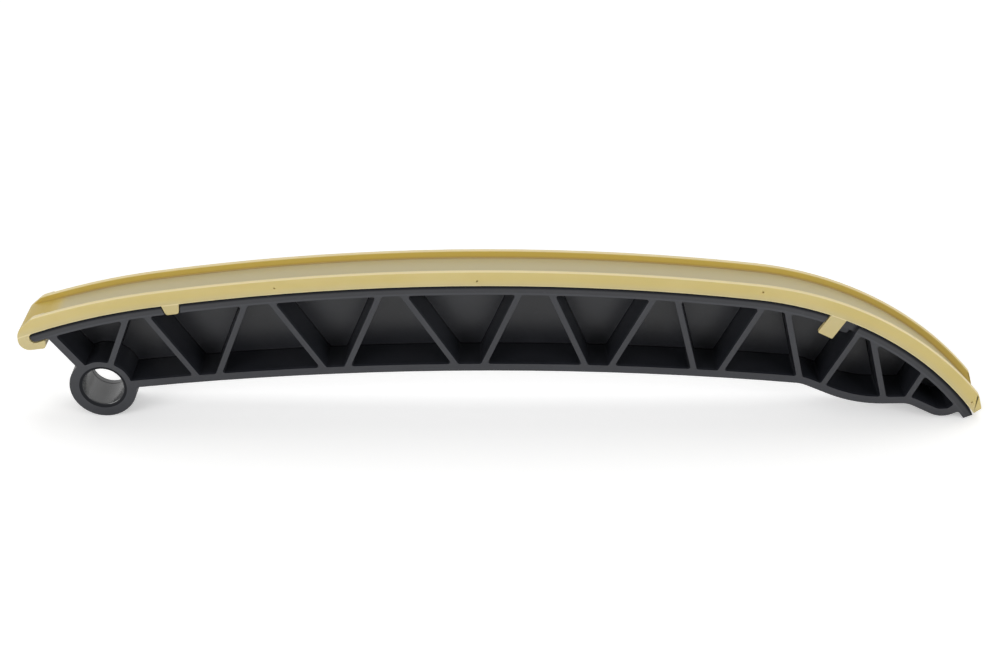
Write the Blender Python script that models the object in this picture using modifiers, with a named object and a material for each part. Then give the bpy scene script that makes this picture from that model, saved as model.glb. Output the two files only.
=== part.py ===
# Timing chain guide: a ribbed moulded carrier that turns on a pivot boss, and the slide shoe
# clipped on top of it, on which the chain runs.
#
# X runs along the guide from the pivot boss to the free end, Y from the open side of the carrier
# to its closed side, Z up. The guide stands on its boss and on the foot of its tail, at Z = 0.
# Outlines are drawn in the XZ plane from the rail line, which is the top of the carrier's flange
# seen from the side: one long arc with a tighter arc at each end. Sizes are in metres.

import math

import bmesh
import bpy
from mathutils import Matrix, Vector

# Rail line
CROWN_X = -0.0032
RAIL_RADIUS = 0.7152
PIVOT_BEND_X = -0.1094
PIVOT_BEND_RADIUS = 0.209
FREE_BEND_X = 0.0776
FREE_BEND_RADIUS = 0.1055

# Walls of the carrier
CARRIER_WIDTH = 0.0150
FLANGE_THICKNESS = 0.0029
CHORD_THICKNESS = 0.0025
RIB_THICKNESS = 0.00172
STRUT_THICKNESS = 0.0025
WEB_THICKNESS = 0.0019
POCKET_CORNER_RADIUS = 0.0007
POCKET_FLOOR_RADIUS = 0.00035
DRAFT_ANGLE = math.radians(0.6)

# Ends of the carrier
FLANGE_TIP_X = -0.1487
STRUT_X = -0.1425
STRUT_ASIDE = 0.0005
BOSS_PLACE = (-0.13413, 0.02452)
BOSS_RADIUS = 0.01065
TUBE_RADIUS = 0.0093
BORE_RADIUS = 0.00645
BORE_MOUTH_FLARE = 0.0011
BORE_MOUTH_DEPTH = 0.0007
NECK_RADIUS = 0.0014
LEAF_END = (0.1433, 0.1415)

# Ribs: the X at which each one's middle meets the flange, and the X at which it meets the chord
RIBS = (
    (-0.1178, -0.1242),
    (-0.1112, -0.0975),
    (-0.0804, -0.0903),
    (-0.0719, -0.0571),
    (-0.0387, -0.0495),
    (-0.0311, -0.0155),
    (0.0044, -0.0064),
    (0.0146, 0.0254),
    (0.0458, 0.0337),
    (0.0534, 0.0597),
    (0.0795, 0.0682),
    (0.0876, 0.0932),
    (0.1101, 0.1009),
    (0.1152, 0.1205),
    (0.1321, 0.1283),
)

# Lower edge of the carrier, as the boss's place above: an X on the rail line, and the depth below
# the line there, square to it
CHORD_START = (-0.1176, 0.0275)
CHORD_MIDDLE = (-0.0013, 0.0302)
CHORD_END = (0.1030, 0.0255)
CHORD_END_RADIUS = 0.010
FIRST_BULGE = (0.1249, 0.0243)
FIRST_BULGE_RADIUS = 0.043
WAIST = (0.1376, 0.0133)
WAIST_RADIUS = 0.007
SECOND_BULGE = (0.1466, 0.0090)
SECOND_BULGE_RADIUS = 0.008
TAIL_NOTCH = (0.1476, 0.0033)
TAIL_NOTCH_RADIUS = 0.0008
TAIL_FOOT = (0.1496, 0.0033)
TAIL_TIP = (0.1500, 0.0003)
TAIL_ROOT_X = 0.1470

# Slide shoe
SEAT_GAP = 0.0003
SHOE_OVERHANG = 0.0003
STRIP_THICKNESS = 0.0025
LIP_HEIGHT = 0.0025
LIP_THICKNESS = 0.0015
SHOE_END_X = 0.1497
SHOE_END_HEIGHT = 0.0032
SHOE_END_CORNER = 0.0006
SHOE_END_RAMP = 0.0031
SHOE_RAMP_RADIUS = 0.0030
SHOE_EDGE = 0.0003
RUNOUT_X = -0.1335
RUNOUT_LENGTH = 0.0160
RUNOUT_RISE = 0.0011

# Hook of the shoe round the tip of the flange
BROW_LENGTH = 0.0037
BROW_RADIUS = 0.0040
NOSE_TOP_THICKNESS = 0.0026
NOSE_TOP_HEIGHT = 0.0025
NOSE_FOOT_THICKNESS = 0.0049
NOSE_FOOT_HEIGHT = 0.0018
NOSE_RADIUS = 0.0050
NOSE_FOOT_RADIUS = 0.0033
ARM_LENGTH = 0.0041
ARM_THICKNESS = 0.0027
ARM_END_SLANT = 0.0010
ARM_CORNER_RADIUS = 0.0010

# Tabs of the shoe, which drop through notches in the open side of the flange
TAB_SETBACK = 0.0001
TAB_THICKNESS = 0.0014
TAB_ROOT = 0.0010
NOTCH_CLEARANCE = 0.0004
SMALL_TAB_X = -0.1034
SMALL_TAB_WIDTH = 0.0056
SMALL_TAB_LENGTH = 0.0034
SMALL_TAB_TAPER = 0.0008
SMALL_TAB_CORNER = 0.0009
LARGE_TAB_X = 0.1035
LARGE_TAB_WIDTH = 0.0052
LARGE_TAB_LENGTH = 0.0072
LARGE_TAB_LEAN = math.radians(10.0)
LARGE_TAB_SLANT = 0.0004
LARGE_TAB_CORNER = 0.0004
LARGE_NOTCH_RIB = 13
CATCH_X = 0.1074
CATCH_WIDTH = 0.0030
CATCH_HEIGHT = 0.0017
CATCH_DEPTH = 0.0025

# Small round marks in the open face of the shoe: an X, and a height above the shoe's underside
MARKS = ((-0.0705, 0.0022), (-0.0084, 0.0017), (0.0790, 0.0029), (0.1473, 0.0017))
MARK_RADIUS = 0.00035
MARK_DEPTH = 0.0005

# Fineness of the arcs, and how far a cutter reaches past the faces that it opens
ARC_SAG = 0.00002
ARC_STEP = math.radians(22.5)
ROUND_SEGMENTS = 64
MARK_SEGMENTS = 10
PAST = 0.002

# Faces that meet at less than this are one flat face
FLAT = math.radians(0.05)

CARRIER_COLOUR = (0.062, 0.065, 0.068, 1.0)
SHOE_COLOUR = (0.58, 0.48, 0.22, 1.0)

# Sizes that follow from those above
OPEN_SIDE = -CARRIER_WIDTH / 2
CLOSED_SIDE = CARRIER_WIDTH / 2
SHOE_OPEN_SIDE = OPEN_SIDE - SHOE_OVERHANG
SHOE_CLOSED_SIDE = CLOSED_SIDE + SHOE_OVERHANG
TRACK_HEIGHT = SEAT_GAP + STRIP_THICKNESS
LIP_TOP = TRACK_HEIGHT + LIP_HEIGHT
TAB_FRONT = SHOE_OPEN_SIDE + TAB_SETBACK
TAB_BACK = TAB_FRONT + TAB_THICKNESS
NOTCH_FLOOR = TAB_BACK + SEAT_GAP


# Rail line and arcs


def rail_arc(x):
    """Centre and radius of the arc that the rail line follows at x. The crown is at height 0."""
    centre, radius = Vector((CROWN_X, -RAIL_RADIUS)), RAIL_RADIUS
    bends = ((PIVOT_BEND_X, PIVOT_BEND_RADIUS, -1), (FREE_BEND_X, FREE_BEND_RADIUS, 1))
    for bend_x, bend_radius, side in bends:
        if side * (x - bend_x) > 0:
            lean = math.asin((bend_x - CROWN_X) / RAIL_RADIUS)
            outward = Vector((math.sin(lean), math.cos(lean)))
            return centre + (RAIL_RADIUS - bend_radius) * outward, bend_radius
    return centre, radius


def rail_normal(x):
    centre, radius = rail_arc(x)
    lean = math.asin((x - centre.x) / radius)
    return Vector((math.sin(lean), math.cos(lean)))


def on_rail(x, height=0.0):
    """The point of the rail line at x, moved out by height along its normal there."""
    centre, radius = rail_arc(x)
    return centre + (radius + height) * rail_normal(x)


def below_rail(place):
    x, depth = place
    return on_rail(x, -depth)


def boss_centre():
    return below_rail(BOSS_PLACE)


# The surface that the guide stands on, on its boss and on the foot of its tail
FLOOR = min(boss_centre().y - BOSS_RADIUS, below_rail(TAIL_FOOT).y)


def turn(first, second):
    """Angle from the first vector to the second, positive from X towards Z."""
    return math.atan2(first.cross(second), first.dot(second))


def arc(centre, start, sweep):
    """Points of the arc from start, swept round centre."""
    arm = start - centre
    step = min(2 * math.acos(1 - ARC_SAG / arm.length), ARC_STEP)
    count = max(1, math.ceil(abs(sweep) / step))
    return [centre + Matrix.Rotation(sweep * i / count, 2) @ arm for i in range(count + 1)]


def along_rail(low, high, height):
    """Points along the rail line from X low to X high, at one height above it."""
    marks = [low, *[x for x in (PIVOT_BEND_X, FREE_BEND_X) if low < x < high], high]
    points = [on_rail(low, height)]
    for left, right in zip(marks, marks[1:]):
        centre, _ = rail_arc((left + right) / 2)
        sweep = turn(points[-1] - centre, on_rail(right, height) - centre)
        points += arc(centre, points[-1], sweep)[1:]
    return points


def rounded(corners):
    """Points of an outline given as (point, radius) corners. A corner of radius 0 is kept."""
    points = []
    for i, (corner, radius) in enumerate(corners):
        if radius == 0.0:
            points.append(corner)
            continue
        before = (corners[i - 1][0] - corner).normalized()
        after = (corners[(i + 1) % len(corners)][0] - corner).normalized()
        half = before.angle(after) / 2
        centre = corner + (before + after).normalized() * radius / math.sin(half)
        start = corner + before * radius / math.tan(half)
        sweep = math.copysign(math.pi - 2 * half, after.cross(before))
        points += arc(centre, start, sweep)
    return points


def plain(points):
    return [(point, 0.0) for point in points]


def left_of(direction):
    return Vector((-direction.y, direction.x))


def offset(corners, distance):
    """The inner corners of a run, moved to its left by distance. The run's two ends only guide."""
    moved = []
    for (before, _), (corner, radius), (after, _) in zip(corners, corners[1:], corners[2:]):
        into = (corner - before).normalized()
        out = (after - corner).normalized()
        side = left_of(into + out).normalized()
        place = corner + side * distance / side.dot(left_of(into))
        moved.append((place, radius - math.copysign(distance, into.cross(out))))
    return moved


def circle_through(first, second, third):
    """Centre and radius of the circle through three points."""
    a, b = second - first, third - first
    aside = Vector((b.y * a.dot(a) - a.y * b.dot(b), a.x * b.dot(b) - b.x * a.dot(a)))
    aside /= 2 * a.cross(b)
    return first + aside, aside.length


def crossing(path, origin, direction):
    """Where a line first crosses a path: the index of the next path point, and the point."""
    sides = [direction.cross(point - origin) for point in path]
    for i in range(1, len(path)):
        if sides[i - 1] * sides[i] <= 0 and sides[i - 1] != sides[i]:
            share = sides[i - 1] / (sides[i - 1] - sides[i])
            return i, path[i - 1].lerp(path[i], share)
    raise ValueError("a wall misses the edge that it stands on")


def point_at(path, x):
    return crossing(path, Vector((x, 0.0)), Vector((0.0, 1.0)))[1]


# Outlines of the carrier


def chord(height):
    """Points of the chord's arc, from under the boss to its end, height above its lower edge."""
    points = [below_rail(place) for place in (CHORD_START, CHORD_MIDDLE, CHORD_END)]
    centre, radius = circle_through(*points)
    arms = []
    for x in (boss_centre().x, points[-1].x):
        across = x - centre.x
        arms.append(Vector((across, math.sqrt((radius + height) ** 2 - across**2))))
    return arc(centre, centre + arms[0], turn(*arms))


def bulges():
    """Corners of the lower edge from the chord's end to the tail."""
    return [
        (below_rail(CHORD_END), CHORD_END_RADIUS),
        (below_rail(FIRST_BULGE), FIRST_BULGE_RADIUS),
        (below_rail(WAIST), WAIST_RADIUS),
        (below_rail(SECOND_BULGE), SECOND_BULGE_RADIUS),
        (below_rail(TAIL_NOTCH), TAIL_NOTCH_RADIUS),
    ]


def strut():
    """A point of the end strut's middle line, and its direction, which passes the bore outside."""
    top = on_rail(STRUT_X, -FLANGE_THICKNESS)
    return top, (boss_centre() - Vector((STRUT_ASIDE, 0.0)) - top).normalized()


def carrier_outline():
    boss = boss_centre()
    edge = chord(0.0)
    head = boss + Vector((0.0, BOSS_RADIUS))
    right_side, left_side = arc(boss, head, -math.pi), arc(boss, head, math.pi)
    _, neck = crossing(right_side, edge[0], edge[1] - edge[0])
    top, down = strut()
    outward = -left_of(down) * STRUT_THICKNESS / 2
    _, landing = crossing(left_side, top + outward, down)
    underside = along_rail(FLANGE_TIP_X, STRUT_X + STRUT_THICKNESS, -FLANGE_THICKNESS)
    _, armpit = crossing(underside, top + outward, down)
    sweep = turn(neck - boss, landing - boss) - math.tau
    below = arc(boss, neck, sweep)[1:-1]
    tip_radius = FLANGE_THICKNESS * 0.49
    clear = 3 * NECK_RADIUS
    return rounded(
        [
            (on_rail(FLANGE_TIP_X), tip_radius),
            *plain(along_rail(FLANGE_TIP_X + FLANGE_THICKNESS, TAIL_ROOT_X, 0.0)),
            (below_rail(TAIL_TIP), 0.0),
            (below_rail(TAIL_FOOT), 0.0),
            *reversed(bulges()),
            *plain([point for point in reversed(edge[:-1]) if point.x > neck.x + clear]),
            (neck, NECK_RADIUS),
            *plain([point for point in below if (point - neck).length > clear / 2]),
            (landing, 0.0),
            (armpit, POCKET_CORNER_RADIUS),
            (on_rail(FLANGE_TIP_X, -FLANGE_THICKNESS), tip_radius),
        ]
    )


def pocket_bottoms():
    """The line that the pockets stand on: over the tube round the bore, then along the chord."""
    boss = boss_centre()
    inner = chord(CHORD_THICKNESS)
    tube = arc(boss, boss - Vector((TUBE_RADIUS, 0.0)), -math.pi)
    top = len(tube) // 2
    i, corner = crossing(tube[top:], inner[0], inner[1] - inner[0])
    run = [(chord(0.0)[-2], 0.0), *bulges(), (below_rail(TAIL_FOOT), 0.0)]
    ends = offset(run, CHORD_THICKNESS)
    low = [point for point in inner[:-1] if point.x > corner.x + POCKET_CORNER_RADIUS]
    return [*tube[: top + i], corner, *rounded([*plain(low), *ends[:-1], (ends[-1][0], 0.0)])]


def walls(tops, bottoms):
    """Middle line and half thickness of each wall between the pockets, pivot end first."""
    found = [(*strut(), STRUT_THICKNESS / 2)]
    for top_x, bottom_x in RIBS:
        top = point_at(tops, top_x)
        found.append((top, (point_at(bottoms, bottom_x) - top).normalized(), RIB_THICKNESS / 2))
    top = point_at(tops, LEAF_END[0])
    found.append((top, (point_at(bottoms, LEAF_END[1]) - top).normalized(), 0.0))
    return found


def flank(wall, side):
    """One flank of a wall: a point of it, and its direction downwards. Side 1 faces the tail."""
    top, down, half = wall
    return top + left_of(down) * half * side, down


def pocket_outline(left, right, tops, bottoms):
    """The pocket between the flanks of two walls, with its four corners rounded."""
    first, top_left = crossing(tops, *flank(left, 1))
    last, top_right = crossing(tops, *flank(right, -1))
    start, low_left = crossing(bottoms, *flank(left, 1))
    end, low_right = crossing(bottoms, *flank(right, -1))
    corners = (top_left, top_right, low_right, low_left)

    def between(points):
        clear = 3 * POCKET_CORNER_RADIUS
        return plain([p for p in points if min((p - c).length for c in corners) > clear])

    return rounded(
        [
            (top_left, POCKET_CORNER_RADIUS),
            *between(tops[first:last]),
            (top_right, POCKET_CORNER_RADIUS),
            (low_right, POCKET_CORNER_RADIUS),
            *between(reversed(bottoms[start:end])),
            (low_left, POCKET_CORNER_RADIUS),
        ]
    )


# Outlines of the shoe, its tabs and their notches


def tip_frame(outward, up):
    """A point given from the top of the flange's tip: out past the tip, and up."""
    normal = rail_normal(FLANGE_TIP_X)
    return on_rail(FLANGE_TIP_X) + left_of(normal) * outward + normal * up


def shoe_outline():
    under_arm = -(FLANGE_THICKNESS + SEAT_GAP)
    heel = under_arm - ARM_THICKNESS
    inner_radius = FLANGE_THICKNESS * 0.49 + SEAT_GAP
    brow_x, ramp_x = FLANGE_TIP_X + BROW_LENGTH, SHOE_END_X - SHOE_END_RAMP
    return rounded(
        [
            (tip_frame(SEAT_GAP, SEAT_GAP), inner_radius),
            *plain(along_rail(FLANGE_TIP_X + FLANGE_THICKNESS, SHOE_END_X - 0.001, SEAT_GAP)),
            (on_rail(SHOE_END_X, SEAT_GAP), SHOE_EDGE),
            (on_rail(SHOE_END_X, SHOE_END_HEIGHT), SHOE_END_CORNER),
            (on_rail(ramp_x, LIP_TOP), SHOE_RAMP_RADIUS),
            *plain(reversed(along_rail(brow_x + 0.002, ramp_x - 0.002, LIP_TOP))),
            (on_rail(brow_x, LIP_TOP), BROW_RADIUS),
            (tip_frame(SEAT_GAP + NOSE_TOP_THICKNESS, NOSE_TOP_HEIGHT), NOSE_RADIUS),
            (tip_frame(SEAT_GAP + NOSE_FOOT_THICKNESS, heel + NOSE_FOOT_HEIGHT), NOSE_FOOT_RADIUS),
            (tip_frame(ARM_END_SLANT - ARM_LENGTH, heel), ARM_CORNER_RADIUS),
            (tip_frame(-ARM_LENGTH, under_arm), SHOE_EDGE),
            (tip_frame(SEAT_GAP, under_arm), inner_radius),
        ]
    )


def groove_outline():
    """Everything above the chain's track, which rises to run out over the nose."""
    floor = along_rail(RUNOUT_X, SHOE_END_X + PAST, TRACK_HEIGHT)
    exit_x = RUNOUT_X - RUNOUT_LENGTH
    run_out = on_rail(exit_x, TRACK_HEIGHT + RUNOUT_RISE)
    beyond = run_out + (run_out - floor[0]).normalized() * 2 * PAST
    roof = along_rail(exit_x - PAST, SHOE_END_X + PAST, LIP_TOP + 2 * PAST)
    return [beyond, *floor, *reversed(roof)]


def tab_outline(x, width, taper, length, lean, slant, corner):
    """A tab below the shoe's underside at x, rooted in the strip above it.

    The corner of its foot that faces the pivot is lower than the other by slant.
    """
    down = Matrix.Rotation(-lean, 2) @ -rail_normal(x)
    side = left_of(down)
    root = on_rail(x, SEAT_GAP)
    top, foot = root - down * TAB_ROOT, root + down * length
    half, foot_half = width / 2, width / 2 - taper
    flare = half + taper * TAB_ROOT / length
    return rounded(
        [
            (top - side * flare, 0.0),
            (top + side * flare, 0.0),
            (foot + side * foot_half, corner),
            (foot - side * foot_half + down * slant, corner),
        ]
    )


def small_tab():
    size = (SMALL_TAB_WIDTH, SMALL_TAB_TAPER, SMALL_TAB_LENGTH)
    return tab_outline(SMALL_TAB_X, *size, 0.0, 0.0, SMALL_TAB_CORNER)


def large_tab():
    size = (LARGE_TAB_WIDTH, 0.0, LARGE_TAB_LENGTH)
    return tab_outline(LARGE_TAB_X, *size, LARGE_TAB_LEAN, LARGE_TAB_SLANT, LARGE_TAB_CORNER)


def small_notch():
    """The small tab's own outline with clearance, through the flange."""
    width = SMALL_TAB_WIDTH + 2 * NOTCH_CLEARANCE
    length = SMALL_TAB_LENGTH + NOTCH_CLEARANCE
    size = (width, SMALL_TAB_TAPER, length)
    return tab_outline(SMALL_TAB_X, *size, 0.0, 0.0, SMALL_TAB_CORNER)


def large_notch(rib, underside):
    """From the large tab's flank that faces the pivot to the rib, so that the shoe can grow."""
    down = Matrix.Rotation(-LARGE_TAB_LEAN, 2) @ -rail_normal(LARGE_TAB_X)
    edge = on_rail(LARGE_TAB_X) - left_of(down) * (LARGE_TAB_WIDTH / 2 + NOTCH_CLEARANCE)
    rib_top, rib_down = flank(rib, -1)
    rib_top -= left_of(rib_down) * NOTCH_CLEARANCE / 2
    outline = []
    for top, direction in ((edge, down), (rib_top, rib_down)):
        _, low = crossing(underside, top, direction)
        ends = [low - direction * (FLANGE_THICKNESS + PAST), low + direction * NOTCH_CLEARANCE]
        outline += ends if not outline else reversed(ends)
    return outline


def catch_outline():
    """A small nub under the flange, in the notch of the large tab."""
    normal = rail_normal(CATCH_X)
    side = left_of(normal) * CATCH_WIDTH / 2
    root = on_rail(CATCH_X, -FLANGE_THICKNESS / 2)
    foot = on_rail(CATCH_X, -FLANGE_THICKNESS - CATCH_HEIGHT)
    corner = CATCH_WIDTH / 4
    return rounded(
        [(root + side, 0.0), (foot + side, corner), (foot - side, corner), (root - side, 0.0)]
    )


# Solids and cutters


def collection(name):
    made = bpy.data.collections.new(name)
    bpy.context.scene.collection.children.link(made)
    return made


def keep(name, mesh, group):
    made = bpy.data.objects.new(name, mesh)
    group.objects.link(made)
    return made


def standing(outline):
    """Points of an outline measured up from the surface that the guide stands on."""
    return [Vector((point.x, point.y - FLOOR)) for point in outline]


def prism(name, outline, near, far, group):
    """The outline filled and given depth from near to far along Y, as a closed mesh."""
    curve = bpy.data.curves.new(name, "CURVE")
    curve.dimensions = "2D"
    curve.fill_mode = "BOTH"
    curve.extrude = (far - near) / 2
    points = standing(outline)
    spline = curve.splines.new("POLY")
    spline.points.add(len(points) - 1)
    for vertex, point in zip(spline.points, points):
        vertex.co = (point.x, point.y, 0.0, 1.0)
    spline.use_cyclic_u = True
    drawn = keep(name, curve, group)
    drawn.location.y = (near + far) / 2
    drawn.rotation_euler.x = math.pi / 2
    bpy.context.view_layer.update()
    graph = bpy.context.evaluated_depsgraph_get()
    mesh = bpy.data.meshes.new_from_object(drawn.evaluated_get(graph))
    mesh.transform(drawn.matrix_world)
    bpy.data.objects.remove(drawn)
    shape = bmesh.new()
    shape.from_mesh(mesh)
    bmesh.ops.remove_doubles(shape, verts=shape.verts, dist=0.000001)
    bmesh.ops.dissolve_limit(shape, angle_limit=FLAT, verts=shape.verts, edges=shape.edges)
    bmesh.ops.recalc_face_normals(shape, faces=shape.faces)
    shape.to_mesh(mesh)
    shape.free()
    return keep(name, mesh, group)


def drawn_in(points, distance):
    """A closed outline drawn in by distance, point for point."""
    area = sum(before.cross(point) for before, point in zip(points[-1:] + points[:-1], points))
    inward = math.copysign(distance, area)
    moved = []
    for i, point in enumerate(points):
        into = (point - points[i - 1]).normalized()
        out = (points[(i + 1) % len(points)] - point).normalized()
        side = left_of(into + out).normalized()
        moved.append(point + side * inward / side.dot(left_of(into)))
    return moved


def pocket_cutter(outlines, group):
    """One mesh for all pockets, each narrowing with the draft and rounded towards its floor."""
    floor = CLOSED_SIDE - WEB_THICKNESS
    waist = floor - POCKET_FLOOR_RADIUS
    slope = math.tan(DRAFT_ANGLE)
    drawn = (waist - OPEN_SIDE) * slope
    sections = [(OPEN_SIDE - PAST, -PAST * slope)]
    for lean in (0.0, math.pi / 4, math.pi / 2):
        y = waist + POCKET_FLOOR_RADIUS * math.sin(lean)
        sections.append((y, drawn + POCKET_FLOOR_RADIUS * (1 - math.cos(lean))))
    shape = bmesh.new()
    for outline in outlines:
        rings = []
        for y, distance in sections:
            ring = drawn_in(standing(outline), distance)
            rings.append([shape.verts.new((point.x, y, point.y)) for point in ring])
        shape.faces.new(rings[0])
        shape.faces.new(rings[-1])
        for near, far in zip(rings, rings[1:]):
            for i in range(len(near)):
                shape.faces.new((near[i - 1], near[i], far[i], far[i - 1]))
    bmesh.ops.recalc_face_normals(shape, faces=shape.faces)
    mesh = bpy.data.meshes.new("pockets")
    shape.to_mesh(mesh)
    shape.free()
    return keep("pockets", mesh, group)


def bore_cutter(group):
    """The pivot bore, turned round its axis, with a flared mouth in the open face of the boss."""
    half = CARRIER_WIDTH / 2
    mouth = BORE_RADIUS + BORE_MOUTH_FLARE
    profile = (
        (0.0, half + PAST),
        (mouth, half + PAST),
        (mouth, half),
        (BORE_RADIUS, half - BORE_MOUTH_DEPTH),
        (BORE_RADIUS, -half - PAST),
        (0.0, -half - PAST),
    )
    mesh = bpy.data.meshes.new("bore")
    edges = [(i, i + 1) for i in range(len(profile) - 1)]
    mesh.from_pydata([(radius, 0.0, z) for radius, z in profile], edges, [])
    made = keep("bore", mesh, group)
    centre = boss_centre()
    made.location = (centre.x, 0.0, centre.y - FLOOR)
    made.rotation_euler.x = math.pi / 2
    spin = made.modifiers.new("spin", "SCREW")
    spin.steps = spin.render_steps = ROUND_SEGMENTS
    spin.use_merge_vertices = True
    spin.merge_threshold = 0.00001
    return made


def mark_cutter(number, x, height, group):
    """A small round pin that leaves a mark in the open face of the shoe."""
    place = on_rail(x, SEAT_GAP + height)
    shape = bmesh.new()
    bmesh.ops.create_cone(
        shape,
        cap_ends=True,
        segments=MARK_SEGMENTS,
        radius1=MARK_RADIUS,
        radius2=MARK_RADIUS,
        depth=2 * MARK_DEPTH,
    )
    name = f"mark_{number}"
    mesh = bpy.data.meshes.new(name)
    shape.to_mesh(mesh)
    shape.free()
    made = keep(name, mesh, group)
    made.location = (place.x, SHOE_OPEN_SIDE, place.y - FLOOR)
    made.rotation_euler.x = math.pi / 2
    return made


def combine(target, operand, operation):
    step = target.modifiers.new(operand.name, "BOOLEAN")
    step.operation = operation
    step.solver = "EXACT"
    step.object = operand
    operand.hide_render = True
    operand.display_type = "WIRE"


def finish(made, name, colour, roughness):
    made.data.shade_smooth()
    made.data.set_sharp_from_angle(angle=math.radians(35.0))
    plastic = bpy.data.materials.new(name)
    plastic.use_nodes = True
    shader = plastic.node_tree.nodes["Principled BSDF"]
    shader.inputs["Base Color"].default_value = colour
    shader.inputs["Roughness"].default_value = roughness
    shader.inputs["Metallic"].default_value = 0.0
    made.data.materials.append(plastic)


def make_carrier(group, cutters):
    tops = along_rail(FLANGE_TIP_X, TAIL_ROOT_X, -FLANGE_THICKNESS)
    bottoms = pocket_bottoms()
    standing_walls = walls(tops, bottoms)
    pairs = zip(standing_walls, standing_walls[1:])
    outlines = [pocket_outline(left, right, tops, bottoms) for left, right in pairs]

    carrier = prism("carrier", carrier_outline(), OPEN_SIDE, CLOSED_SIDE, group)
    combine(carrier, pocket_cutter(outlines, cutters), "DIFFERENCE")
    catch_side = NOTCH_FLOOR + SEAT_GAP
    catch = prism("catch", catch_outline(), catch_side, catch_side + CATCH_DEPTH, cutters)
    combine(carrier, catch, "UNION")
    beside = standing_walls[LARGE_NOTCH_RIB]
    notches = {"small_notch": small_notch(), "large_notch": large_notch(beside, tops)}
    for name, outline in notches.items():
        notch = prism(name, outline, OPEN_SIDE - PAST, NOTCH_FLOOR, cutters)
        combine(carrier, notch, "DIFFERENCE")
    combine(carrier, bore_cutter(cutters), "DIFFERENCE")
    finish(carrier, "black_filled_nylon", CARRIER_COLOUR, 0.5)
    return carrier


def make_shoe(group, cutters):
    shoe = prism("slide_shoe", shoe_outline(), SHOE_OPEN_SIDE, SHOE_CLOSED_SIDE, group)
    sides = (SHOE_OPEN_SIDE + LIP_THICKNESS, SHOE_CLOSED_SIDE - LIP_THICKNESS)
    combine(shoe, prism("groove", groove_outline(), *sides, cutters), "DIFFERENCE")
    for number, (x, height) in enumerate(MARKS, start=1):
        combine(shoe, mark_cutter(number, x, height, cutters), "DIFFERENCE")
    for name, outline in {"small_tab": small_tab(), "large_tab": large_tab()}.items():
        tab = prism(name, outline, TAB_FRONT, TAB_BACK, cutters)
        combine(shoe, tab, "UNION")
    finish(shoe, "cream_nylon", SHOE_COLOUR, 0.4)
    return shoe


def main():
    for old in list(bpy.data.objects):
        bpy.data.objects.remove(old)
    group = collection("timing_chain_guide")
    cutters = collection("cutters")
    make_carrier(group, cutters)
    make_shoe(group, cutters)


main()
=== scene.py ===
import math

import bmesh
import bpy
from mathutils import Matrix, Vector


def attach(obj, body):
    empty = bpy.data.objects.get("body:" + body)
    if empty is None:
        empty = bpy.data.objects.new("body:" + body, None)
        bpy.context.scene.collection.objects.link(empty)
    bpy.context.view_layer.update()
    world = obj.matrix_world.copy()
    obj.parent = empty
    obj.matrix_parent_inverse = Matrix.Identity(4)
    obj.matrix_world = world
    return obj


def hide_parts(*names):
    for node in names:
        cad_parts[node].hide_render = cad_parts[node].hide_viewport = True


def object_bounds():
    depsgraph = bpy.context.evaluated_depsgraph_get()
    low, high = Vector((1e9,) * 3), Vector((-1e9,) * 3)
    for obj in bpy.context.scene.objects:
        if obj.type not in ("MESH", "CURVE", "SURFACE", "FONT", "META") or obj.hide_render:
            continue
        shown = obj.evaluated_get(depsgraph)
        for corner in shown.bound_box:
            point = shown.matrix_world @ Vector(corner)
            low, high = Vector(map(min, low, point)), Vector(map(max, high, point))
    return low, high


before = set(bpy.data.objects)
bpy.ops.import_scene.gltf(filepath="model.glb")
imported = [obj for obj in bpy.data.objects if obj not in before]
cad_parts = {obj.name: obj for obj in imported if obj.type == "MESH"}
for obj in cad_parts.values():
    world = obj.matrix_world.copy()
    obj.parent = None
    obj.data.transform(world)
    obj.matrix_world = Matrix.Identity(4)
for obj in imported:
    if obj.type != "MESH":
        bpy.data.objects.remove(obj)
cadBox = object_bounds()
print("frame loaded:", ", ".join(sorted(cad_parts)))

# Lengths are in metres in the frame of the CAD model, areas in square metres, angles in degrees


# Nodes of the materials and of the world

class Wire:
    # one value on its way between nodes; sums written with it add Math nodes
    def __init__(self, board, socket):
        self.board = board
        self.socket = socket

    def calc(self, operation, *values):
        return self.board.node("Math", {"operation": operation}, dict(enumerate((self, *values))))

    def __add__(self, other):
        return self.calc("ADD", other)

    __radd__ = __add__

    def __sub__(self, other):
        return self.calc("SUBTRACT", other)

    def __rsub__(self, other):
        return self.calc("MULTIPLY", -1.0).calc("ADD", other)

    def __mul__(self, other):
        return self.calc("MULTIPLY", other)

    __rmul__ = __mul__

    def __abs__(self):
        return self.calc("ABSOLUTE")

    def clamp(self):
        return self.calc("MAXIMUM", 0.0).calc("MINIMUM", 1.0)

    def rise(self, low, high):
        # 0 up to low, 1 from high on, soft between
        settings = {"interpolation_type": "SMOOTHSTEP"}
        return self.board.node("MapRange", settings, {0: self, 1: low, 2: high, 3: 0.0, 4: 1.0})

    def fall(self, low, high):
        return 1 - self.rise(low, high)

    def parts(self):
        split = self.board.node("SeparateXYZ", inputs={0: self})
        return [Wire(self.board, socket) for socket in split.socket.node.outputs]


class Board:
    # one tree of nodes
    def __init__(self, tree):
        self.tree = tree

    def node(self, kind, settings=None, inputs=None, out=0):
        made = self.tree.nodes.new("ShaderNode" + kind)
        for key, value in (settings or {}).items():
            setattr(made, key, value)
        for key, value in (inputs or {}).items():
            self.feed(made.inputs[key], value)
        return Wire(self, made.outputs[out])

    def feed(self, socket, value):
        if isinstance(value, Wire):
            self.tree.links.new(value.socket, socket)
        elif socket.type == "RGBA":
            socket.default_value = (*value, 1.0)
        else:
            socket.default_value = value


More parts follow.
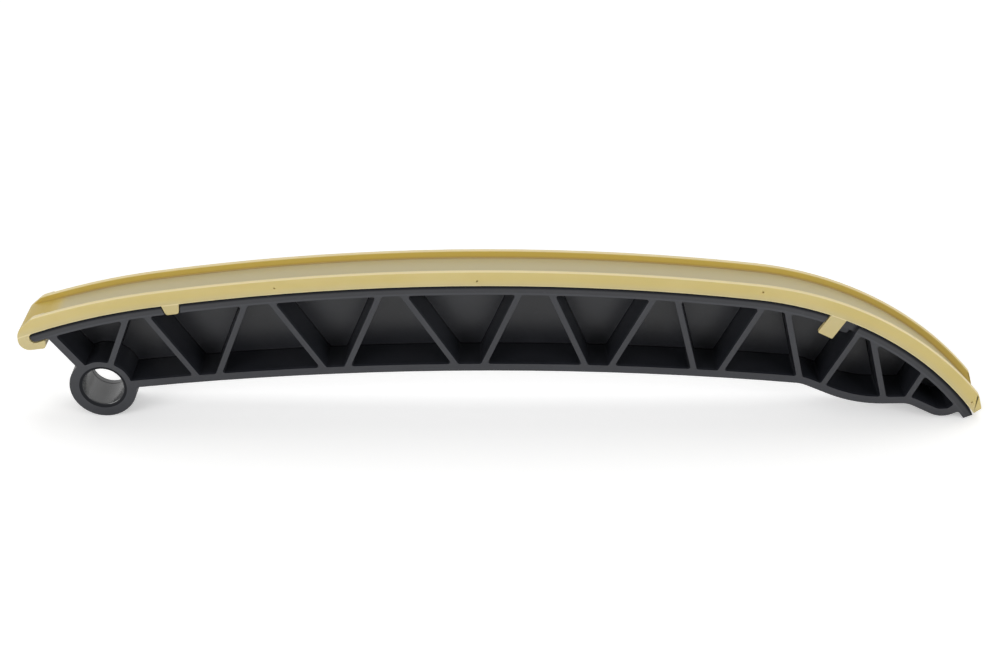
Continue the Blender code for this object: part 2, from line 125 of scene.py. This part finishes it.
class Finish(Board):
    # one material and its Principled shader
    def __init__(self, name):
        self.material = bpy.data.materials.new(name)
        self.material.use_nodes = True
        super().__init__(self.material.node_tree)
        self.shader = self.tree.nodes["Principled BSDF"]
        self.place = self.node("TexCoord", out="Object")

    def set(self, name, value):
        self.feed(self.shader.inputs[name], value)

    def noise(self, pattern, stretch=None):
        # a pattern is its scale, detail and roughness; scales below 1 in the stretch draw it out
        scale, detail, rough = pattern
        where = self.place
        if stretch:
            where = self.node("Mapping", inputs={"Vector": self.place, "Scale": stretch})
        inputs = {"Vector": where, "Scale": scale, "Detail": detail, "Roughness": rough}
        return self.node("TexNoise", inputs=inputs)

    def mix(self, mask, first, second):
        return self.node("Mix", {"data_type": "RGBA"}, {0: mask, 6: first, 7: second}, out=2)

    def bump(self, height, distance, strength, under=None):
        inputs = {"Height": height, "Distance": distance, "Strength": strength}
        if under:
            inputs["Normal"] = under
        return self.node("Bump", inputs=inputs)

    def paintedShade(self, mask, colour, roughness, shine):
        # a second, darker and duller shader where the mask is 1, for painted shade
        inputs = {"Base Color": colour, "Roughness": roughness, "Specular IOR Level": shine}
        dull = self.node("BsdfPrincipled", inputs=inputs)
        both = self.node("MixShader", inputs={0: mask, 1: Wire(self, self.shader.outputs[0]), 2: dull})
        self.feed(self.tree.nodes["Material Output"].inputs["Surface"], both)


# The rail line is the curved line between carrier and shoe, seen from the side

railLine = {
    "crown": (-0.0032, 0.04747),        # x and z of its highest point
    "radius": 0.7152,                   # of the long arc in its middle
    "pivotBend": (-0.1094, 0.2090),     # x where a tighter arc takes over, and that arc's radius
    "freeBend": (0.0776, 0.1055),       # the same towards the free end
    "blend": 0.0005,                    # shaders pass from one arc to the next this far either side
}


def railArcs():
    # centre and radius of the long arc and of the two bends
    crownX, crownZ = railLine["crown"]
    longRadius = railLine["radius"]
    centreZ = crownZ - longRadius
    arcs = [(crownX, centreZ, longRadius)]
    for bendX, bendRadius in (railLine["pivotBend"], railLine["freeBend"]):
        lean = math.asin((bendX - crownX) / longRadius)
        inward = longRadius - bendRadius
        arcs.append((crownX + inward * math.sin(lean), centreZ + inward * math.cos(lean), bendRadius))
    return arcs


def heightAt(point):
    # how far a point of a mesh lies over the rail line
    middle, pivotSide, freeSide = railArcs()
    beyond = pivotSide if point.x < railLine["pivotBend"][0] else middle
    centreX, centreZ, radius = freeSide if point.x > railLine["freeBend"][0] else beyond
    return math.hypot(point.x - centreX, point.z - centreZ) - radius


def distance(x, z, centreX, centreZ):
    across = x - centreX
    up = z - centreZ
    return (across * across + up * up).calc("SQRT")


def heightOver(x, z):
    # the height over the rail line again, for a shader
    middle, pivotSide, freeSide = [
        distance(x, z, centreX, centreZ) - radius for centreX, centreZ, radius in railArcs()]
    pivotX, _ = railLine["pivotBend"]
    freeX, _ = railLine["freeBend"]
    blend = railLine["blend"]
    height = middle + (pivotSide - middle) * x.fall(pivotX - blend, pivotX + blend)
    return height + (freeSide - middle) * x.rise(freeX - blend, freeX + blend)


# Each moulding is a copy of its solid with the edges rounded

roundingLook = {
    "merge": 0.00005,                   # corners nearer than this become one
    "flat": 0.2,                        # facets that turn less than this become one face
    "snap": 0.0004,                     # a parting cut uses a corner that is this near to it
    "sharp": 40.0,                      # edges that turn more than this are rounded
    "shadeAngle": 30.0,                 # edges that turn more than this are shaded sharp
    "crest": 0.0042,                    # outward edges higher than this over the rail line are crests
    "crestFade": 0.0010,                # whose rounding grows to its full width over this height
    "endFade": 0.0040,                  # and fades out over this length before a plain end
    "room": 0.45,                       # other roundings take this share of the edges beside them at most
    "leastFace": 0.0000001,             # and faces smaller than this keep their edges
    "touch": 0.00001,                   # a face whose middle is this near to a plane lies in it
}


def only(piece):
    bpy.ops.object.select_all(action="DESELECT")
    piece.select_set(True)
    bpy.context.view_layer.objects.active = piece


def edgeRounding(edge, look):
    # how far one edge of the solid is rounded: most on the crests, less where its neighbours are short
    rules = roundingLook
    angle = edge.calc_face_angle_signed()
    if abs(angle) < math.radians(rules["sharp"]):
        return 0.0
    middle = (edge.verts[0].co + edge.verts[1].co) / 2
    lowPlain, highPlain = look["plainEnds"]
    fromEnd = min(middle.x - cadBox[0][0] - lowPlain, cadBox[1][0] - highPlain - middle.x)
    share = min((heightAt(middle) - rules["crest"]) / rules["crestFade"], fromEnd / rules["endFade"], 1.0)
    if share > 0.0 and angle > 0.0 and look["crestEdge"] > look["edge"]:
        return look["edge"] + (look["crestEdge"] - look["edge"]) * share
    smallest = min(face.calc_area() for face in edge.link_faces)
    if fromEnd < 0.0 or smallest < rules["leastFace"]:
        return 0.0
    shortest = min(beside.calc_length() for corner in edge.verts for beside in corner.link_edges)
    return min(look["edge"] if angle > 0.0 else look["hollowEdge"], rules["room"] * shortest)


def closeMarks(shape, look):
    # the small round marks come off the open face, so that it can be rounded, and are cut again later
    def facesAt(y):
        touch = roundingLook["touch"]
        return [face for face in shape.faces if abs(face.calc_center_median().y - y) < touch]

    side = look["openSide"]
    largest = 1.5 * math.pi * look["markRadius"] ** 2
    floors = [face for face in facesAt(side + look["markDepth"]) if face.calc_area() < largest]
    floors = [face for face in floors if abs(face.normal.y) > 0.9]
    places = [face.calc_center_median() for face in floors]
    around = {wall for face in floors for corner in face.verts for wall in corner.link_faces}
    pits = [face for face in shape.faces if face in around]     # in the mesh's order, the same each run
    bmesh.ops.dissolve_faces(shape, faces=[*pits, *facesAt(side)], use_verts=False)
    return places


def cutMarks(piece, places, look):
    for place in places:
        bpy.ops.mesh.primitive_cylinder_add(
            vertices=look["markSides"], radius=look["markRadius"], depth=2 * look["markDepth"],
            location=(place.x, look["openSide"], place.z), rotation=(math.pi / 2, 0.0, 0.0))
        pin = bpy.context.object
        only(piece)
        cut = piece.modifiers.new("mark", "BOOLEAN")
        cut.object = pin
        bpy.ops.object.modifier_apply(modifier=cut.name)
        bpy.data.objects.remove(pin)


def partFaces(shape, step):
    # cuts across the piece every few millimetres keep its long faces simple
    x = cadBox[0][0] + step
    while x < cadBox[1][0]:
        everything = [*shape.verts, *shape.edges, *shape.faces]
        bmesh.ops.bisect_plane(
            shape, geom=everything, dist=roundingLook["snap"],
            plane_co=(x, 0.0, 0.0), plane_no=(1.0, 0.0, 0.0))
        x += step


def roundEdges(piece, look):
    widest = max(look["edge"], look["crestEdge"])
    shape = bmesh.new()
    shape.from_mesh(piece.data)
    marks = closeMarks(shape, look) if "markRadius" in look else []
    partFaces(shape, look["parting"])
    weights = shape.edges.layers.float.new("bevel_weight_edge")
    for edge in shape.edges:
        edge[weights] = edgeRounding(edge, look) / widest
    shape.to_mesh(piece.data)
    shape.free()
    rounding = piece.modifiers.new("rounding", "BEVEL")
    rounding.width = widest
    rounding.segments = look["edgeSteps"]
    rounding.limit_method = "WEIGHT"
    rounding.use_clamp_overlap = False
    bpy.ops.object.modifier_apply(modifier=rounding.name)
    cutMarks(piece, marks, look)


def dress(node, name, look, material):
    # the piece that shows in place of a solid
    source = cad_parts[node]
    piece = bpy.data.objects.new(name, source.data.copy())
    bpy.context.scene.collection.objects.link(piece)
    piece.data.materials.clear()
    only(piece)
    bpy.ops.object.mode_set(mode="EDIT")
    bpy.ops.mesh.select_all(action="SELECT")
    bpy.ops.mesh.remove_doubles(threshold=roundingLook["merge"])
    bpy.ops.mesh.dissolve_limited(angle_limit=math.radians(roundingLook["flat"]))
    bpy.ops.mesh.normals_make_consistent(inside=False)
    bpy.ops.object.mode_set(mode="OBJECT")
    roundEdges(piece, look)
    bpy.ops.object.shade_smooth_by_angle(angle=math.radians(roundingLook["shadeAngle"]))
    flatter = piece.modifiers.new("flatter", "WEIGHTED_NORMAL")
    flatter.keep_sharp = True
    bpy.ops.object.modifier_apply(modifier=flatter.name)
    piece.data.materials.append(material)
    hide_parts(node)
    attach(piece, "root")
    print(name, "made:", len(piece.data.polygons), "faces")


# The ribbed carrier

carrierLook = {
    "edge": 0.00010,                    # rounding of its outward edges
    "hollowEdge": 0.00008,              # of its inward ones
    "crestEdge": 0.00010,               # and of crests
    "edgeSteps": 2,
    "parting": 0.0061,                  # length between the cuts that part its long faces
    "plainEnds": (0.0, 0.0),            # this far from the lowest and the highest x, nothing is rounded
    "colour": (0.0150, 0.0165, 0.0225),
    "haze": (0.0300, 0.0325, 0.0410),   # its bloom, its fibres and the flange's rim
    "flangeColour": (0.0080, 0.0090, 0.0130),
    # painted reflection: the lighter grey inside the bore
    "boreSheenColour": (0.042, 0.044, 0.046),
    "clouds": (45.0, 4.0, 0.55),
    "flow": (60.0, 3.0, 0.6),
    "flowStretch": (0.35, 1.0, 1.0),
    "grain": (2600.0, 2.0, 0.6),
    "fibres": (1500.0, 1.0, 0.4),
    "fibreStretch": (0.3, 1.0, 1.0),
    "grainDepth": 0.00002,
    "flowDepth": 0.00025,
    "roughness": 0.37,
    "boreRoughness": 0.24,
    "ior": 1.52,
    "shine": 0.85,
    "shadow": (0.0085, 0.0092, 0.0115), # where hardly any light gets in
    "shadowRoughness": 0.8,
    "shadowShine": 0.1,
    "front": (-0.0068, -0.0064),        # the open side ends between these y
    "flange": 0.0029,                   # the flange reaches this far below the rail line
    "gap": (-0.0012, -0.0003),          # painted shade in the line under the shoe, between these heights
    "walls": (-0.0069, -0.0055),        # painted shade on the pockets' walls, between these y
    "webFace": 0.0056,                  # y of the pockets' backs
    "bore": (-0.12759, 0.01065),        # x and z of its middle
    "boreRadius": 0.00645,
    "mouthRadius": 0.00755,             # painted shade in a ring round the bore ends here
}


def blackNylon():
    # glass-filled nylon as it comes from the mould: near black, with a fine grain and a grey bloom; its bore
    # has a painted reflection, and shade is painted in its hollows
    look = carrierLook
    finish = Finish("blackFilledNylon")
    x, y, z = finish.place.parts()
    height = heightOver(x, z)
    fromBore = distance(x, z, *look["bore"])
    inBore = fromBore.fall(look["boreRadius"] + 0.0001, look["boreRadius"] + 0.0003)
    atFront = y.fall(*look["front"])
    clouds = finish.noise(look["clouds"])
    flow = finish.noise(look["flow"], look["flowStretch"])
    grain = finish.noise(look["grain"])
    fibres = finish.noise(look["fibres"], look["fibreStretch"])

    bloom = (clouds.rise(0.42, 0.72) * 0.6 + flow.rise(0.45, 0.75) * 0.4).clamp()
    colour = finish.mix(bloom * 0.5, look["colour"], look["haze"])
    flange = look["flange"]
    onFlange = height.rise(-flange - 0.0001, -flange + 0.0003) * atFront
    colour = finish.mix(onFlange * 0.75, colour, look["flangeColour"])
    flangeRim = onFlange * height.fall(-flange + 0.0004, -flange + 0.0009)
    colour = finish.mix(flangeRim * 0.8, colour, look["haze"])
    colour = finish.mix(fibres.rise(0.66, 0.78) * 0.35, colour, look["haze"])
    # painted reflection: the bore is coloured a lighter grey for the sheen along its smooth wall
    colour = finish.mix(inBore, colour, look["boreSheenColour"])
    finish.set("Base Color", colour)

    # the patterns' middle is 0.5, so half of what they add comes off first
    roughness = clouds * 0.08 + grain * 0.10 + (look["roughness"] - 0.09)
    finish.set("Roughness", roughness + inBore * (look["boreRoughness"] - look["roughness"]))
    fine = finish.bump(grain, look["grainDepth"], 0.6)
    finish.set("Normal", finish.bump(flow, look["flowDepth"], 0.25, fine))
    finish.set("IOR", look["ior"])
    finish.set("Specular IOR Level", look["shine"])

    # shadow under the shoe, on the pockets' walls and in the curve behind them, and round the bore
    underShoe = height.rise(*look["gap"]) * atFront
    web = look["webFace"]
    walls = y.rise(*look["walls"]) * y.fall(web - 0.0005, web - 0.0003) * (1 - inBore)
    fillet = y.rise(web - 0.0005, web - 0.0003) * y.fall(web - 0.00006, web - 0.00002)
    mouth = fromBore.fall(look["mouthRadius"] - 0.0001, look["mouthRadius"] + 0.0001) * atFront * (1 - inBore)
    shadow = (underShoe * 0.9 + fillet * 0.9 + walls * 0.35 + mouth * 0.85).clamp()
    finish.paintedShade(shadow, look["shadow"], look["shadowRoughness"], look["shadowShine"])
    return finish.material


dress("carrier", "ribbedCarrier", carrierLook, blackNylon())


# The slide shoe

shoeLook = {
    "edge": 0.00010,
    "hollowEdge": 0.00015,
    "crestEdge": 0.00068,               # the lips' tops are rounder than all other edges
    "edgeSteps": 3,
    "parting": 0.0047,
    "plainEnds": (0.0088, -0.0010),     # a number below 0 lies past the end
    "markRadius": 0.00035,
    "markDepth": 0.00050,
    "markSides": 16,
    "cream": (0.600, 0.480, 0.170),
    "dull": (0.540, 0.460, 0.240),      # low on its sides
    "pale": (0.790, 0.675, 0.385),      # as a painted highlight on its rims, and in its clouds and streaks
    "golden": (0.560, 0.410, 0.085),    # inside its lips
    "track": (0.550, 0.480, 0.280),
    "shadedAmber": (0.430, 0.280, 0.065),     # painted shade where the track meets the lips
    "clouds": (35.0, 4.0, 0.55),
    "streaks": (90.0, 3.0, 0.6),
    "streakStretch": (0.12, 1.0, 1.0),
    "grain": (2200.0, 2.0, 0.6),
    "grainDepth": 0.000012,
    "streakDepth": 0.0002,
    "roughness": 0.42,
    "ior": 1.53,
    "subsurface": 0.10,
    "subsurfaceRadius": (0.0016, 0.0011, 0.0004),
    "openSide": -0.0078,                # y of the face with the marks
    "lowSide": (0.0004, 0.0030),        # the dull colour ends between these heights
    "trackHalfWidth": 0.0063,           # the groove's floor reaches this far from the middle
    "trackHeight": 0.0028,              # and lies this high
    "lipTop": 0.0053,
}


def creamNylon():
    # unfilled nylon: cream outside, with a painted highlight on its rims, golden inside its lips, greyer in
    # its track, with painted shade where the track meets the lips
    look = shoeLook
    finish = Finish("creamNylon")
    x, y, z = finish.place.parts()
    height = heightOver(x, z)
    side = abs(y)
    clouds = finish.noise(look["clouds"])
    streaks = finish.noise(look["streaks"], look["streakStretch"])
    grain = finish.noise(look["grain"])

    colour = finish.mix(height.fall(*look["lowSide"]) * 0.7, look["cream"], look["dull"])
    colour = finish.mix(clouds.rise(0.35, 0.7) * 0.15, colour, look["pale"])
    colour = finish.mix(streaks.rise(0.5, 0.75) * 0.15, colour, look["pale"])
    halfWidth = look["trackHalfWidth"]
    trackHeight = look["trackHeight"]
    inside = side.fall(halfWidth + 0.0001, halfWidth + 0.0003)
    above = height.rise(trackHeight + 0.0001, trackHeight + 0.0005)
    colour = finish.mix(inside * above, colour, look["golden"])
    onTrack = inside * height.fall(trackHeight + 0.0001, trackHeight + 0.0003)
    onTrack = onTrack * height.rise(trackHeight - 0.0008, trackHeight - 0.0003)
    colour = finish.mix(onTrack, colour, look["track"])
    # painted shade: darker amber in the crease where the track meets the lips
    corner = side.rise(halfWidth - 0.0007, halfWidth) * inside
    corner = corner * height.fall(trackHeight + 0.0002, trackHeight + 0.0009)
    colour = finish.mix(corner * 0.7, colour, look["shadedAmber"])
    # painted highlight: paler on the lips' tops and along the shoe's lower rim
    topHighlight = height.rise(look["lipTop"] - 0.0005, look["lipTop"] - 0.0002)
    lowRimHighlight = height.fall(0.0004, 0.0006) * height.rise(0.0, 0.0002)
    colour = finish.mix((topHighlight + lowRimHighlight * 0.7).clamp(), colour, look["pale"])
    finish.set("Base Color", colour)

    finish.set("Roughness", clouds * 0.08 + grain * 0.08 + (look["roughness"] - 0.08))
    fine = finish.bump(grain, look["grainDepth"], 0.5)
    finish.set("Normal", finish.bump(streaks, look["streakDepth"], 0.2, fine))
    finish.set("IOR", look["ior"])
    finish.set("Subsurface Weight", look["subsurface"])
    finish.set("Subsurface Radius", look["subsurfaceRadius"])
    finish.set("Subsurface Scale", 1.0)
    return finish.material


dress("slide_shoe", "clippedShoe", shoeLook, creamNylon())


# Floor, lamps and world

studioLook = {
    "floorSize": 6.0,
    "floor": (0.90, 0.90, 0.90),
    "floorRoughness": 0.9,
    "floorShine": 0.1,
    "floorShown": 0.36,                 # light that only the camera sees in the floor, so that it shows white
    "world": 0.34,
    "backdrop": 0.62,                   # what the world adds low down behind the object
    "backdropBehind": (0.05, 0.45),     # it starts between these directions' y
    "backdropTop": (0.55, 0.80),        # and ends between these directions' z
    "worldShown": 1.0,                  # what the camera sees of the world
    "white": (1.0, 1.0, 1.0),
    "lamps": [
        # name, place, size across, size up, watts
        ("leftSoftbox", (-1.05, -1.00, 0.55), 0.9, 0.7, 9.0),
        ("rightSoftbox", (1.10, -0.95, 0.55), 0.9, 0.7, 8.0),
        ("topSoftbox", (0.05, 0.45, 1.50), 1.2, 0.8, 5.0),
    ],
}


def paleFloor():
    finish = Finish("paleFloor")
    finish.set("Base Color", studioLook["floor"])
    finish.set("Roughness", studioLook["floorRoughness"])
    finish.set("Specular IOR Level", studioLook["floorShine"])
    cameraRay = finish.node("LightPath", out="Is Camera Ray")
    finish.set("Emission Color", studioLook["white"])
    finish.set("Emission Strength", cameraRay * studioLook["floorShown"])
    return finish.material


def buildFloor():
    bpy.ops.object.select_all(action="DESELECT")
    bpy.ops.mesh.primitive_plane_add(size=studioLook["floorSize"], location=(0.0, 0.0, 0.0))
    floor = bpy.context.object
    floor.name = "studioFloor"
    floor.data.materials.append(paleFloor())


def buildLamps():
    for name, place, across, up, watts in studioLook["lamps"]:
        lamp = bpy.data.lights.new(name, "AREA")
        lamp.shape = "RECTANGLE"
        lamp.size = across
        lamp.size_y = up
        lamp.energy = watts
        holder = bpy.data.objects.new(name, lamp)
        bpy.context.scene.collection.objects.link(holder)
        holder.location = place
        holder.rotation_euler = (-Vector(place)).to_track_quat("-Z", "Y").to_euler()


def buildWorld():
    # dim overhead, bright low down behind the object, and white where the camera sees it
    world = bpy.data.worlds.new("paleStudio")
    world.use_nodes = True
    board = Board(world.node_tree)
    _, y, z = board.node("TexCoord", out="Generated").parts()
    cameraRay = board.node("LightPath", out="Is Camera Ray")
    behind = y.rise(*studioLook["backdropBehind"]) * z.fall(*studioLook["backdropTop"])
    light = behind * studioLook["backdrop"] + studioLook["world"]
    strength = light + cameraRay * (studioLook["worldShown"] - light)
    background = board.tree.nodes["Background"]
    board.feed(background.inputs["Color"], studioLook["white"])
    board.feed(background.inputs["Strength"], strength)
    bpy.context.scene.world = world


# The camera, where the photo's was

cameraLook = {
    "place": (0.0012, -0.4725, 0.29948),
    "towards": (-0.00484, 0.86601, -0.50),
    "focal": 1723.0,                    # in pixels of a picture this wide
    "pictureWidth": 1000.0,
    "sensor": 36.0,                     # in millimetres
    "nearest": 0.01,
}


def buildCamera():
    lens = bpy.data.cameras.new("photoCamera")
    lens.sensor_fit = "HORIZONTAL"
    lens.sensor_width = cameraLook["sensor"]
    lens.lens = cameraLook["focal"] / cameraLook["pictureWidth"] * cameraLook["sensor"]
    lens.clip_start = cameraLook["nearest"]
    lens.dof.use_dof = False
    camera = bpy.data.objects.new("photoCamera", lens)
    bpy.context.scene.collection.objects.link(camera)
    camera.location = cameraLook["place"]
    camera.rotation_euler = Vector(cameraLook["towards"]).to_track_quat("-Z", "Y").to_euler()
    bpy.context.scene.camera = camera


buildFloor()
buildLamps()
buildWorld()
buildCamera()
bpy.context.scene.view_settings.view_transform = "Standard"
print("studio built")
